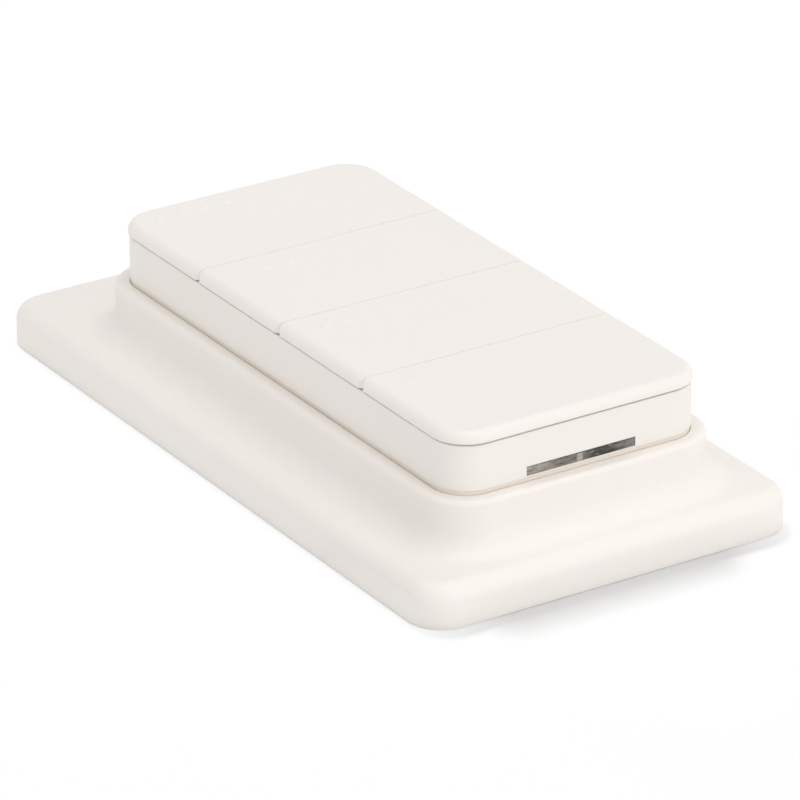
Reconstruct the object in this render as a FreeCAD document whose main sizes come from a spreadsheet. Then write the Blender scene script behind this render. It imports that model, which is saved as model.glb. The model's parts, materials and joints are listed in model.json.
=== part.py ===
import FreeCAD, Part
import Sketcher
import math
import os

# Wireless wall switch: a four-button remote that stands in a moulded wall plate.
# The plate's back lies at z = 0 with the origin under the plate's middle. +Z points out of the
# wall, Y runs along the switch with the signal window at its -Y end, and +X is to the right.

V = FreeCAD.Vector

SIZES = {
    # wall plate
    "plate_width": 60.2,
    "plate_length": 114.3,
    "plate_corner": 5.2,
    "flange_height": 6.2,
    "flange_round": 2.5,
    "skirt_wall": 2.0,
    "cradle_shift": 4.0,
    "collar_height": 13.8,
    "collar_wall": 1.55,
    "collar_round": 0.7,
    "cove_radius": 4.0,
    "cradle_gap": 0.6,
    "floor_height": 10.0,
    "floor_wall": 2.0,
    "rib_wall": 1.0,
    "rib_pitch": 22.4,
    "rib_row_pitch": 12.6,
    "rib_setback": 0.6,
    "bolt_spacing": 83.3,
    # cradle base, screwed to the wall inside the plate
    "base_gap": 0.15,
    "base_wall": 1.5,
    "foot_thick": 1.6,
    "foot_gap": 0.1,
    "snap_wide": 8.0,
    "snap_height": 1.2,
    "snap_reach": 0.45,
    "snap_lead": 0.35,
    "snap_rise": 3.0,
    "snap_column": 28.0,
    "snap_gap": 0.15,
    "bolt_hole": 3.8,
    "bolt_sink": 1.2,
    "bolt_tube_wall": 1.2,
    # strike plate in the cradle's floor
    "strike_width": 24.0,
    "strike_length": 70.0,
    "strike_thick": 0.8,
    "strike_gap": 0.1,
    "stake_side": 2.0,
    "stake_inset": 4.0,
    # remote: outline and stack
    "remote_width": 41.0,
    "remote_length": 88.9,
    "remote_corner": 5.2,
    "seat_gap": 0.3,
    "cover_height": 4.0,
    "cover_inset": 0.2,
    "cover_base": 1.5,
    "cover_wall": 2.5,
    "cover_round": 0.8,
    "tongue_height": 1.0,
    "tongue_wall": 1.0,
    "tongue_gap": 0.1,
    "housing_height": 6.75,
    "housing_wall": 1.6,
    "rim_wall": 1.2,
    "deck_drop": 0.45,
    "deck_wall": 1.2,
    # buttons
    "button_seam": 0.45,
    "button_thick": 1.5,
    "button_overhang": 0.2,
    "button_bevel": 0.8,
    "button_split": 21.5,
    "split_gap": 0.25,
    "notch_wide": 0.7,
    "notch_deep": 0.6,
    "dot_radius": 0.85,
    "dot_height": 0.35,
    "dot_bevel": 0.2,
    "dot_pitch": 3.7,
    "dot_inset": 5.0,
    "dot_drop": 4.1,
    "post_side": 2.6,
    "post_gap": 0.4,
    "hook_row": 14.0,
    "hook_wall": 1.0,
    "hook_wide": 3.0,
    "hook_lip": 0.5,
    "hook_reach": 3.0,
    "hook_gap": 0.2,
    "hook_rest": 0.05,
    # switches
    "switch_side": 6.0,
    "switch_height": 2.2,
    "switch_leg": 1.3,
    "plunger_side": 3.0,
    "plunger_rise": 0.6,
    "plunger_depth": 1.0,
    "plunger_room": 0.4,
    "plunger_gap": 0.1,
    # circuit board
    "board_width": 37.0,
    "board_length": 81.2,
    "board_corner": 2.0,
    "board_thick": 0.8,
    "board_rise": 1.3,
    "shield_width": 16.0,
    "shield_length": 12.0,
    "shield_height": 1.8,
    "chip_side": 7.0,
    "chip_height": 1.0,
    "antenna_length": 20.0,
    "antenna_strip": 0.4,
    "antenna_height": 2.2,
    # case screws
    "screw_row": 15.0,
    "screw_column": 38.0,
    "screw_radius": 0.95,
    "screw_head": 1.9,
    "screw_head_height": 1.3,
    "screw_length": 6.6,
    "screw_gap": 0.25,
    "pilot_gap": 0.05,
    "boss_wall": 1.4,
    # battery, its door and its contacts
    "cell_radius": 10.0,
    "cell_height": 3.2,
    "cell_cap_radius": 8.6,
    "cell_cap_rise": 0.3,
    "cell_gap": 0.1,
    "door_radius": 12.0,
    "door_thick": 1.3,
    "door_gap": 0.3,
    "ledge_thick": 0.5,
    "tab_reach": 1.4,
    "tab_wide": 5.0,
    "tab_lift": 0.1,
    "coin_slot_length": 11.0,
    "coin_slot_wide": 1.8,
    "coin_slot_deep": 0.7,
    "contact_thick": 0.2,
    "contact_wide": 4.0,
    # magnets
    "magnet_width": 10.0,
    "magnet_length": 6.0,
    "magnet_thick": 2.0,
    "magnet_row": 28.0,
    "magnet_skin": 0.5,
    "magnet_gap": 0.1,
    "magnet_frame_wall": 1.0,
    # signal window, emitters and reflector
    "window_width": 17.7,
    "window_height": 1.4,
    "window_rise": 0.3,
    "window_gap": 0.05,
    "window_flange": 0.9,
    "window_flange_thick": 1.0,
    "emitter_pitch": 5.0,
    "emitter_width": 3.0,
    "emitter_height": 1.0,
    "emitter_depth": 1.6,
    "port_side": 0.7,
    "reflector_thick": 0.3,
}

DOTS_PER_BUTTON = [1, 2, 3, 4]
DOT_SIDES = 10
DOOR_TABS = 3
DOOR_TURN = 60.0


class Size:
    """A length together with the sheet expression that gives it, so that both stay the same."""

    def __init__(self, number, text):
        self.number = float(number)
        self.text = text

    def join(self, sign, other, number):
        return Size(number, f"({self.text} {sign} {size(other).text})")

    def __add__(self, other):
        return self.join("+", other, self.number + size(other).number)

    def __sub__(self, other):
        return self.join("-", other, self.number - size(other).number)

    def __mul__(self, other):
        return self.join("*", other, self.number * size(other).number)

    def __truediv__(self, other):
        return self.join("/", other, self.number / size(other).number)

    def __radd__(self, other):
        return size(other) + self

    def __rsub__(self, other):
        return size(other) - self

    def __rmul__(self, other):
        return size(other) * self

    def __neg__(self):
        return size(0) - self


def size(value):
    return value if isinstance(value, Size) else Size(value, repr(float(value)))


class Sizes:
    """The sheet's values, each read as an attribute."""

    def __init__(self, values):
        for name, number in values.items():
            setattr(self, name, Size(number, f"Sizes.{name}"))


def make_sheet(doc):
    sheet = doc.addObject("Spreadsheet::Sheet", "Sizes")
    for row, (name, number) in enumerate(SIZES.items(), start=1):
        sheet.set(f"A{row}", name)
        sheet.set(f"B{row}", str(number))
        sheet.setAlias(f"B{row}", name)
    doc.recompute()


doc = FreeCAD.newDocument("wall_switch")
make_sheet(doc)
D = Sizes(SIZES)
PARTS = []

# levels of the stack, from the wall outwards
Z_COVER = D.floor_height + D.seat_gap
Z_HOUSING = Z_COVER + D.cover_height
Z_RIM = Z_HOUSING + D.housing_height
Z_BUTTON = Z_RIM + D.button_seam
Z_DECK_TOP = Z_RIM - D.deck_drop
Z_DECK = Z_DECK_TOP - D.deck_wall
Z_BOARD = Z_HOUSING + D.board_rise
Z_BOARD_TOP = Z_BOARD + D.board_thick
Z_SWITCH_TOP = Z_BOARD_TOP + D.switch_height
Z_PLUNGER_TOP = Z_SWITCH_TOP + D.plunger_rise
Z_CELL = Z_COVER + D.door_thick + D.cell_gap
Z_CELL_TOP = Z_CELL + D.cell_height
Z_WINDOW = Z_HOUSING + D.window_rise

# places along the remote, from its middle
END_EDGE = D.remote_length / 2 + D.button_overhang
END_MIDDLE = (END_EDGE + D.button_split) / 2
MID_MIDDLE = D.button_split / 2
BUTTON_PLACES = [-END_MIDDLE, -MID_MIDDLE, MID_MIDDLE, END_MIDDLE]
WINDOW_WALL = D.remote_length / 2 - D.housing_wall
CORNER_SIGNS = [(-1, -1), (1, -1), (1, 1), (-1, 1)]
DIAGONAL_SIGNS = [(-1, -1), (1, 1)]


def bind(item, path, value):
    item.setExpression(path, size(value).text)


def new_body(name, z=0.0, y=None):
    """A body whose own origin stands on the cradle's middle line, at height z."""
    body = doc.addObject("PartDesign::Body", name)
    body.Label = name
    bind(body, "Placement.Base.y", -D.cradle_shift if y is None else y)
    bind(body, "Placement.Base.z", z)
    PARTS.append(body)
    return body


def origin_plane(body, role):
    return next(item for item in body.Origin.OriginFeatures if item.Role == role)


def new_sketch(body, name, x=0.0, y=0.0, z=0.0, role="XY_Plane"):
    sketch = body.newObject("Sketcher::SketchObject", name)
    sketch.AttachmentSupport = [(origin_plane(body, role), "")]
    sketch.MapMode = "FlatFace"
    bind(sketch, "AttachmentOffset.Base.x", x)
    bind(sketch, "AttachmentOffset.Base.y", y)
    bind(sketch, "AttachmentOffset.Base.z", z)
    return sketch


def dimension(sketch, kind, where, name, value):
    index = sketch.addConstraint(Sketcher.Constraint(kind, *where, size(value).number))
    sketch.renameConstraint(index, name)
    bind(sketch, f"Constraints.{name}", value)


def draw_block(sketch, width, length, corner=None, tag=""):
    """A rectangle about the sketch's origin, with round corners where corner is given."""
    w, h = size(width).number / 2, size(length).number / 2
    first = sketch.GeometryCount
    if corner is None:
        points = [V(-w, -h, 0), V(w, -h, 0), V(w, h, 0), V(-w, h, 0)]
        for i in range(4):
            sketch.addGeometry(Part.LineSegment(points[i], points[(i + 1) % 4]), False)
        for i in range(4):
            sketch.addConstraint(Sketcher.Constraint("Coincident", first + i, 2, first + (i + 1) % 4, 1))
        lines = [first, first + 1, first + 2, first + 3]
        low, high = (first, 1), (first + 2, 1)
    else:
        r = size(corner).number
        ends = [
            (V(-w + r, -h, 0), V(w - r, -h, 0)),
            (V(w, -h + r, 0), V(w, h - r, 0)),
            (V(w - r, h, 0), V(-w + r, h, 0)),
            (V(-w, h - r, 0), V(-w, -h + r, 0)),
        ]
        centres = [V(w - r, -h + r, 0), V(w - r, h - r, 0), V(-w + r, h - r, 0), V(-w + r, -h + r, 0)]
        for i in range(4):
            sketch.addGeometry(Part.LineSegment(*ends[i]), False)
            turn = (i - 1) * math.pi / 2
            circle = Part.Circle(centres[i], V(0, 0, 1), r)
            sketch.addGeometry(Part.ArcOfCircle(circle, turn, turn + math.pi / 2), False)
        for i in range(4):
            line, arc, after = first + 2 * i, first + 2 * i + 1, first + (2 * i + 2) % 8
            sketch.addConstraint(Sketcher.Constraint("Tangent", line, 2, arc, 1))
            sketch.addConstraint(Sketcher.Constraint("Tangent", arc, 2, after, 1))
            if i:
                sketch.addConstraint(Sketcher.Constraint("Equal", first + 1, arc))
        dimension(sketch, "Radius", (first + 1,), f"corner{tag}", corner)
        lines = [first, first + 2, first + 4, first + 6]
        low, high = (first, 1), (first + 4, 1)
    for line, way in zip(lines, ("Horizontal", "Vertical", "Horizontal", "Vertical")):
        sketch.addConstraint(Sketcher.Constraint(way, line))
    sketch.addConstraint(Sketcher.Constraint("Symmetric", *low, *high, -1, 1))
    dimension(sketch, "DistanceX", (lines[3], 1, lines[1], 1), f"width{tag}", width)
    dimension(sketch, "DistanceY", (lines[0], 1, lines[2], 1), f"length{tag}", length)


def draw_circle(sketch, radius, tag=""):
    """A circle about the sketch's origin."""
    index = sketch.addGeometry(Part.Circle(V(0, 0, 0), V(0, 0, 1), size(radius).number), False)
    sketch.addConstraint(Sketcher.Constraint("Coincident", index, 3, -1, 1))
    dimension(sketch, "Radius", (index,), f"radius{tag}", radius)


def draw_outline(sketch, points):
    """A closed outline through points, each given by two sizes from the sketch's origin."""
    first = sketch.GeometryCount
    spots = [V(size(x).number, size(y).number, 0) for x, y in points]
    count = len(spots)
    for i in range(count):
        sketch.addGeometry(Part.LineSegment(spots[i], spots[(i + 1) % count]), False)
    for i in range(count):
        sketch.addConstraint(Sketcher.Constraint("Coincident", first + i, 2, first + (i + 1) % count, 1))
    for i, (x, y) in enumerate(points):
        for kind, name, value in (("DistanceX", "x", size(x)), ("DistanceY", "y", size(y))):
            if value.number >= 0:
                dimension(sketch, kind, (-1, 1, first + i, 1), f"{name}{i}", value)
            else:
                dimension(sketch, kind, (first + i, 1, -1, 1), f"{name}{i}", -value)


def finish_feature(body, feature, sign):
    """Recompute, and stop where a feature failed or left the material as it was."""
    body.Tip = feature
    doc.recompute()
    if "Invalid" in feature.State or feature.Shape.isNull():
        raise RuntimeError(f"{body.Label}: {feature.Name} failed")
    before = feature.BaseFeature.Shape.Volume if feature.BaseFeature else 0.0
    change = (feature.Shape.Volume - before) * sign
    if sign and change <= 1e-6:
        raise RuntimeError(f"{body.Label}: {feature.Name} changed nothing")
    return feature


def pad(body, sketch, length, down=False):
    feature = body.newObject("PartDesign::Pad", f"{sketch.Name}_pad")
    feature.Profile = sketch
    bind(feature, "Length", length)
    feature.Reversed = down
    return finish_feature(body, feature, 1)


def pocket(body, sketch, depth, up=False, both=False):
    """A pocket goes down from its sketch, or up where up is set, or both ways."""
    feature = body.newObject("PartDesign::Pocket", f"{sketch.Name}_cut")
    feature.Profile = sketch
    bind(feature, "Length", depth)
    feature.Reversed = up
    feature.Midplane = both
    return finish_feature(body, feature, -1)


def add_block(body, name, at, width, length, height, corner=None, down=False):
    sketch = new_sketch(body, name, *at)
    draw_block(sketch, width, length, corner)
    return pad(body, sketch, height, down)


def cut_block(body, name, at, width, length, depth, corner=None, up=False):
    sketch = new_sketch(body, name, *at)
    draw_block(sketch, width, length, corner)
    return pocket(body, sketch, depth, up)


def add_round(body, name, at, radius, height, down=False):
    sketch = new_sketch(body, name, *at)
    draw_circle(sketch, radius)
    return pad(body, sketch, height, down)


def cut_round(body, name, at, radius, depth, up=False):
    sketch = new_sketch(body, name, *at)
    draw_circle(sketch, radius)
    return pocket(body, sketch, depth, up)


def pattern(body, feature, role, reach, count):
    """Copies of feature along one of the body's axes, the last one at the reach."""
    row = body.newObject("PartDesign::LinearPattern", f"{feature.Name}_row")
    row.Originals = [feature]
    row.Direction = (origin_plane(body, role), [""])
    bind(row, "Length", reach)
    row.Occurrences = count
    return finish_feature(body, row, 1)


def edges_where(shape, test):
    names = []
    for i, edge in enumerate(shape.Edges, start=1):
        if test(edge):
            names.append(f"Edge{i}")
    if not names:
        raise RuntimeError("no edge found to round")
    return names


def level(edge, z, slack=1e-4):
    box = edge.BoundBox
    return abs(box.ZMin - z) < slack and abs(box.ZMax - z) < slack


def blend(body, base, test, radius, kind="Fillet"):
    """A fillet or chamfer on the edges of base that pass the test."""
    feature = body.newObject(f"PartDesign::{kind}", f"{base.Name}_{kind.lower()}")
    feature.Base = (base, edges_where(base.Shape, test))
    bind(feature, "Radius" if kind == "Fillet" else "Size", radius)
    return finish_feature(body, feature, 0)


def solid_group(name, solids, z=0.0):
    """Separate solids that share one name, placed like a body."""
    item = doc.addObject("Part::Feature", name)
    item.Label = name
    item.Shape = Part.makeCompound(solids)
    item.Placement = FreeCAD.Placement(V(0, -D.cradle_shift.number, size(z).number), FreeCAD.Rotation())
    PARTS.append(item)
    return item


def block(width, length, height, at):
    """A plain block about a point, standing on it."""
    return Part.makeBox(width, length, height, V(at[0] - width / 2, at[1] - length / 2, at[2]))


def collar_outline():
    """Width, length and corner of the collar's outside."""
    grow = 2 * (D.cradle_gap + D.collar_wall)
    return D.remote_width + grow, D.remote_length + grow, D.remote_corner + grow / 2


def wall_plate():
    """Outer moulding: flange, cove and collar round the cradle's opening, ribbed behind."""
    body = new_body("wall_plate", 0.0, 0.0)
    collar_width, collar_length, collar_corner = collar_outline()
    middle = -D.cradle_shift

    flange = add_block(
        body, "flange", (0, 0, 0), D.plate_width, D.plate_length, D.flange_height, D.plate_corner
    )
    top = D.flange_height.number
    blend(body, flange, lambda edge: level(edge, top), D.flange_round)
    collar = add_block(
        body, "collar", (0, middle, 0), collar_width, collar_length, D.collar_height, collar_corner
    )
    half = collar_width.number / 2

    def foot(edge):
        return level(edge, top) and max(abs(edge.BoundBox.XMin), abs(edge.BoundBox.XMax)) < half + 0.01

    cove = blend(body, collar, foot, D.cove_radius)
    lip = D.collar_height.number
    blend(body, cove, lambda edge: level(edge, lip), D.collar_round, "Chamfer")

    # hollow behind the flange, with the collar's wall carried on down through it
    inner_width = D.plate_width - 2 * D.skirt_wall
    inner_length = D.plate_length - 2 * D.skirt_wall
    inner_top = D.flange_height - D.skirt_wall
    cut_block(
        body, "flange_hollow", (0, 0, 0), inner_width, inner_length, inner_top,
        D.plate_corner - D.skirt_wall, up=True,
    )
    sink = D.rib_wall / 2
    add_block(
        body, "inner_skirt", (0, middle, 0), collar_width, collar_length, inner_top + sink, collar_corner
    )
    rise = inner_top - D.rib_setback + sink
    start = middle - 1.5 * D.rib_pitch
    rib = add_block(body, "cross_rib", (0, start, D.rib_setback), inner_width + 2 * sink, D.rib_wall, rise)
    pattern(body, rib, "Y_Axis", 3 * D.rib_pitch, 4)
    side = -2 * D.rib_row_pitch
    rib = add_block(body, "long_rib", (side, 0, D.rib_setback), D.rib_wall, inner_length + 2 * sink, rise)
    pattern(body, rib, "X_Axis", 4 * D.rib_row_pitch, 5)

    # room for the base: its foot below, the cradle's opening above, and a recess for each snap
    cut_block(
        body, "foot_room", (0, middle, 0), collar_width + 2 * D.foot_gap, collar_length + 2 * D.foot_gap,
        D.foot_thick + D.foot_gap, collar_corner + D.foot_gap, up=True,
    )
    cradle_width = D.remote_width + 2 * D.cradle_gap
    cradle_length = D.remote_length + 2 * D.cradle_gap
    cut_block(
        body, "cradle", (0, middle, D.collar_height), cradle_width, cradle_length, D.collar_height,
        D.remote_corner + D.cradle_gap,
    )
    deep = D.snap_reach - D.base_gap + D.snap_gap
    snap_top = D.snap_rise + D.snap_height + D.snap_gap
    for i, (sx, sy) in enumerate(CORNER_SIGNS):
        at = (sx * cradle_width / 2, middle + sy * D.snap_column, snap_top)
        cut_block(
            body, f"snap_recess_{i + 1}", at, 2 * deep, D.snap_wide + 2 * D.snap_gap,
            D.snap_height + 2 * D.snap_gap,
        )


def cradle_base():
    """Inner moulding screwed to the wall: cradle floor, skirt, foot, ribs, bolt tubes and snaps."""
    body = new_body("cradle_base")
    width = D.remote_width + 2 * (D.cradle_gap - D.base_gap)
    length = D.remote_length + 2 * (D.cradle_gap - D.base_gap)
    corner = D.remote_corner + D.cradle_gap - D.base_gap
    foot_width, foot_length, foot_corner = collar_outline()
    add_block(body, "base_block", (0, 0, 0), width, length, D.floor_height, corner)
    add_block(body, "foot", (0, 0, 0), foot_width, foot_length, D.foot_thick, foot_corner)
    well_width = width - 2 * D.base_wall
    well_length = length - 2 * D.base_wall
    well_top = D.floor_height - D.floor_wall
    cut_block(
        body, "base_hollow", (0, 0, 0), well_width, well_length, well_top, corner - D.base_wall, up=True
    )

    # floor: recess for the strike plate, with two stakes for it
    strike_depth = D.strike_thick + D.strike_gap / 2
    cut_block(
        body, "strike_recess", (0, 0, D.floor_height), D.strike_width + 2 * D.strike_gap,
        D.strike_length + 2 * D.strike_gap, strike_depth,
    )
    for i, (sx, sy) in enumerate(DIAGONAL_SIGNS):
        x = sx * (D.strike_width / 2 - D.stake_inset)
        y = sy * (D.strike_length / 2 - D.stake_inset)
        at = (x, y, D.floor_height - strike_depth)
        add_block(body, f"stake_{i + 1}", at, D.stake_side, D.stake_side, D.strike_thick)

    # ribs under the floor
    sink = D.rib_wall / 2
    rise = well_top - D.rib_setback + sink
    start = -1.5 * D.rib_pitch
    rib = add_block(body, "floor_cross", (0, start, D.rib_setback), well_width + 2 * sink, D.rib_wall, rise)
    pattern(body, rib, "Y_Axis", 3 * D.rib_pitch, 4)
    side = -D.rib_row_pitch
    rib = add_block(body, "floor_long", (side, 0, D.rib_setback), D.rib_wall, well_length + 2 * sink, rise)
    pattern(body, rib, "X_Axis", 2 * D.rib_row_pitch, 3)

    # snaps that hold the outer moulding, each with a lead on its upper edge
    half = width.number / 2 + D.snap_reach.number
    snap_top = (D.snap_rise + D.snap_height).number
    for i, (sx, sy) in enumerate(CORNER_SIGNS):
        at = (sx * width / 2, sy * D.snap_column, D.snap_rise)
        snap = add_block(body, f"snap_{i + 1}", at, 2 * D.snap_reach, D.snap_wide, D.snap_height)

    def lead(edge):
        outer = abs(abs(edge.BoundBox.XMin) - half) < 1e-3 and abs(abs(edge.BoundBox.XMax) - half) < 1e-3
        return level(edge, snap_top) and outer

    blend(body, snap, lead, D.snap_lead, "Chamfer")

    # bolt tubes, with a seat for each bolt's head in the cradle's floor
    for i, way in enumerate((-1, 1)):
        tube = D.bolt_hole / 2 + D.bolt_tube_wall
        add_round(body, f"bolt_tube_{i + 1}", (0, way * D.bolt_spacing / 2, 0), tube, well_top + sink)
    for i, way in enumerate((-1, 1)):
        at = (0, way * D.bolt_spacing / 2, D.floor_height)
        cut_round(body, f"head_seat_{i + 1}", at, D.bolt_hole / 2 + D.bolt_sink, D.bolt_sink)
        cut_round(body, f"bolt_hole_{i + 1}", at, D.bolt_hole / 2, D.floor_height)


def strike_plate():
    """Steel sheet that the remote's magnets pull to, held by two stakes of the cradle base."""
    strike_depth = D.strike_thick + D.strike_gap / 2
    body = new_body("strike_plate", D.floor_height - strike_depth)
    add_block(body, "strike", (0, 0, 0), D.strike_width, D.strike_length, D.strike_thick)
    hole = D.stake_side + 2 * D.strike_gap
    for i, (sx, sy) in enumerate(DIAGONAL_SIGNS):
        x = sx * (D.strike_width / 2 - D.stake_inset)
        y = sy * (D.strike_length / 2 - D.stake_inset)
        cut_block(body, f"stake_hole_{i + 1}", (x, y, D.strike_thick), hole, hole, D.strike_thick)


def remote_housing():
    """Main moulding of the remote: side walls, deck with its guides, bosses and window slot."""
    body = new_body("remote_housing", Z_HOUSING)
    inner_width = D.remote_width - 2 * D.housing_wall
    inner_length = D.remote_length - 2 * D.housing_wall
    inner_corner = D.remote_corner - D.housing_wall
    deck = Z_DECK - Z_HOUSING
    add_block(
        body, "case_block", (0, 0, 0), D.remote_width, D.remote_length, D.housing_height, D.remote_corner
    )
    cut_block(body, "case_hollow", (0, 0, 0), inner_width, inner_length, deck, inner_corner, up=True)
    cut_block(
        body, "deck_recess", (0, 0, D.housing_height), D.remote_width - 2 * D.rim_wall,
        D.remote_length - 2 * D.rim_wall, D.deck_drop, D.remote_corner - D.rim_wall,
    )
    boss_foot = Z_BOARD_TOP - Z_HOUSING
    boss = 2 * (D.screw_radius + D.boss_wall)
    for i, (sx, sy) in enumerate(DIAGONAL_SIGNS):
        at = (sx * D.screw_row, sy * D.screw_column)
        rise = deck - boss_foot + D.deck_wall / 2
        add_block(body, f"boss_{i + 1}", (*at, boss_foot), boss, boss, rise)
    for i, (sx, sy) in enumerate(DIAGONAL_SIGNS):
        at = (sx * D.screw_row, sy * D.screw_column)
        cut_round(
            body, f"pilot_{i + 1}", (*at, boss_foot), D.screw_radius + D.pilot_gap, deck - boss_foot, up=True
        )
    for i, place in enumerate(BUTTON_PLACES):
        top = (0, place, D.housing_height)
        hole = D.post_side + 2 * D.post_gap
        cut_block(body, f"post_hole_{i + 1}", top, hole, hole, D.housing_height)
        for way in (-1, 1):
            at = (way * D.hook_row, place, D.housing_height)
            side = "left" if way < 0 else "right"
            cut_block(
                body, f"hook_slot_{side}_{i + 1}", at, D.hook_wall + 2 * D.hook_gap,
                D.hook_wide + 2 * D.hook_gap, D.housing_height,
            )
    # window slot through the near end wall
    sketch = new_sketch(body, "window_slot", 0, D.window_rise + D.window_height / 2, 0, "XZ_Plane")
    bind(sketch, "AttachmentOffset.Base.z", D.remote_length / 2)
    draw_block(sketch, D.window_width, D.window_height)
    pocket(body, sketch, 4 * D.housing_wall, both=True)


def back_cover():
    """Tray that closes the remote from behind: tongues, screw towers, magnet frames, door opening."""
    body = new_body("back_cover", Z_COVER)
    width = D.remote_width - 2 * D.cover_inset
    length = D.remote_length - 2 * D.cover_inset
    corner = D.remote_corner - D.cover_inset
    tray = add_block(body, "tray_block", (0, 0, 0), width, length, D.cover_height, corner)
    blend(body, tray, lambda edge: level(edge, 0.0), D.cover_round, "Chamfer")
    cut_block(
        body, "tray_hollow", (0, 0, D.cover_height), width - 2 * D.cover_wall, length - 2 * D.cover_wall,
        D.cover_height - D.cover_base,
    )
    # straight tongues that locate the cover inside the housing, with a gap at the window
    back = D.housing_wall + D.tongue_gap + D.tongue_wall / 2
    side = D.remote_width / 2 - back
    end = D.remote_length / 2 - back
    along = D.remote_length - 2 * D.remote_corner
    across = D.remote_width - 2 * D.remote_corner
    opening = D.window_width + 2 * (D.window_flange + D.window_gap)
    short = (across - opening) / 2
    for name, x, y, wide, long in (
        ("left", -side, 0, D.tongue_wall, along),
        ("right", side, 0, D.tongue_wall, along),
        ("far", 0, end, across, D.tongue_wall),
        ("near_left", -(opening + short) / 2, -end, short, D.tongue_wall),
        ("near_right", (opening + short) / 2, -end, short, D.tongue_wall),
    ):
        add_block(body, f"{name}_tongue", (x, y, D.cover_height), wide, long, D.tongue_height)
    # screw towers up to the board, with a counterbore for each head
    tower = Z_BOARD - Z_COVER
    for i, (sx, sy) in enumerate(DIAGONAL_SIGNS):
        at = (sx * D.screw_row, sy * D.screw_column)
        outer = 2 * (D.screw_head + D.screw_gap) + D.boss_wall
        add_block(body, f"tower_{i + 1}", (*at, D.cover_base / 2), outer, outer, tower - D.cover_base / 2)
    for i, (sx, sy) in enumerate(DIAGONAL_SIGNS):
        at = (sx * D.screw_row, sy * D.screw_column)
        cut_round(body, f"tower_hole_{i + 1}", (*at, tower), D.screw_radius + D.screw_gap, tower)
        cut_round(body, f"head_bore_{i + 1}", (*at, 0), D.screw_head + D.screw_gap, D.cover_base, up=True)
    # frames for the magnets
    wide = D.magnet_width + 2 * D.magnet_gap
    long = D.magnet_length + 2 * D.magnet_gap
    edge = 2 * D.magnet_frame_wall
    rise = D.magnet_skin + D.magnet_thick
    for i, way in enumerate((-1, 1)):
        y = way * D.magnet_row
        foot = (0, y, D.cover_base / 2)
        add_block(body, f"magnet_frame_{i + 1}", foot, wide + edge, long + edge, rise - D.cover_base / 2)
        cut_block(body, f"magnet_seat_{i + 1}", (0, y, rise), wide, long, D.magnet_thick)
    # battery opening: a ledge for the door's tabs, with a gap for each tab to enter
    mouth = D.door_radius + D.door_gap
    track = D.door_radius + D.tab_reach + D.door_gap
    cut_round(body, "door_mouth", (0, 0, D.cover_base), mouth, D.cover_base)
    cut_round(body, "door_track", (0, 0, D.cover_base), track, D.cover_base - D.ledge_thick)
    sketch = new_sketch(body, "tab_gap", 0, 0, D.cover_base)
    spin = size(DOOR_TURN)
    bind(sketch, "AttachmentOffset.Rotation.Angle", spin)
    bind(sketch, "AttachmentOffset.Rotation.Axis.x", 0)
    bind(sketch, "AttachmentOffset.Rotation.Axis.y", 0)
    bind(sketch, "AttachmentOffset.Rotation.Axis.z", 1)
    half = D.tab_wide / 2 + D.door_gap
    draw_outline(sketch, [(mouth / 2, -half), (track, -half), (track, half), (mouth / 2, half)])
    gap = pocket(body, sketch, D.cover_base)
    ring = body.newObject("PartDesign::PolarPattern", "tab_gap_ring")
    ring.Originals = [gap]
    ring.Axis = (origin_plane(body, "Z_Axis"), [""])
    ring.Angle = 360.0
    ring.Occurrences = DOOR_TABS
    finish_feature(body, ring, -1)


def battery_door():
    """Round door with three bayonet tabs and a slot for a coin."""
    body = new_body("battery_door", Z_COVER)
    add_round(body, "door_disc", (0, 0, 0), D.door_radius, D.door_thick)
    lift = D.ledge_thick + D.tab_lift
    sketch = new_sketch(body, "door_tab", 0, 0, lift)
    reach = D.door_radius + D.tab_reach - D.tab_lift
    half = D.tab_wide / 2
    inner = D.door_radius / 2
    draw_outline(sketch, [(inner, -half), (reach, -half), (reach, half), (inner, half)])
    tab = pad(body, sketch, D.door_thick - lift)
    ring = body.newObject("PartDesign::PolarPattern", "door_tab_ring")
    ring.Originals = [tab]
    ring.Axis = (origin_plane(body, "Z_Axis"), [""])
    ring.Angle = 360.0
    ring.Occurrences = DOOR_TABS
    finish_feature(body, ring, 1)
    cut_block(
        body, "coin_slot", (0, 0, 0), D.coin_slot_length, D.coin_slot_wide, D.coin_slot_deep, up=True
    )


def coin_cell():
    """Coin cell: can, and the smaller cap above it."""
    body = new_body("coin_cell", Z_CELL)
    can_height = D.cell_height - D.cell_cap_rise
    add_round(body, "can", (0, 0, 0), D.cell_radius, can_height)
    add_round(body, "cap", (0, 0, can_height), D.cell_cap_radius, D.cell_cap_rise)


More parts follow.
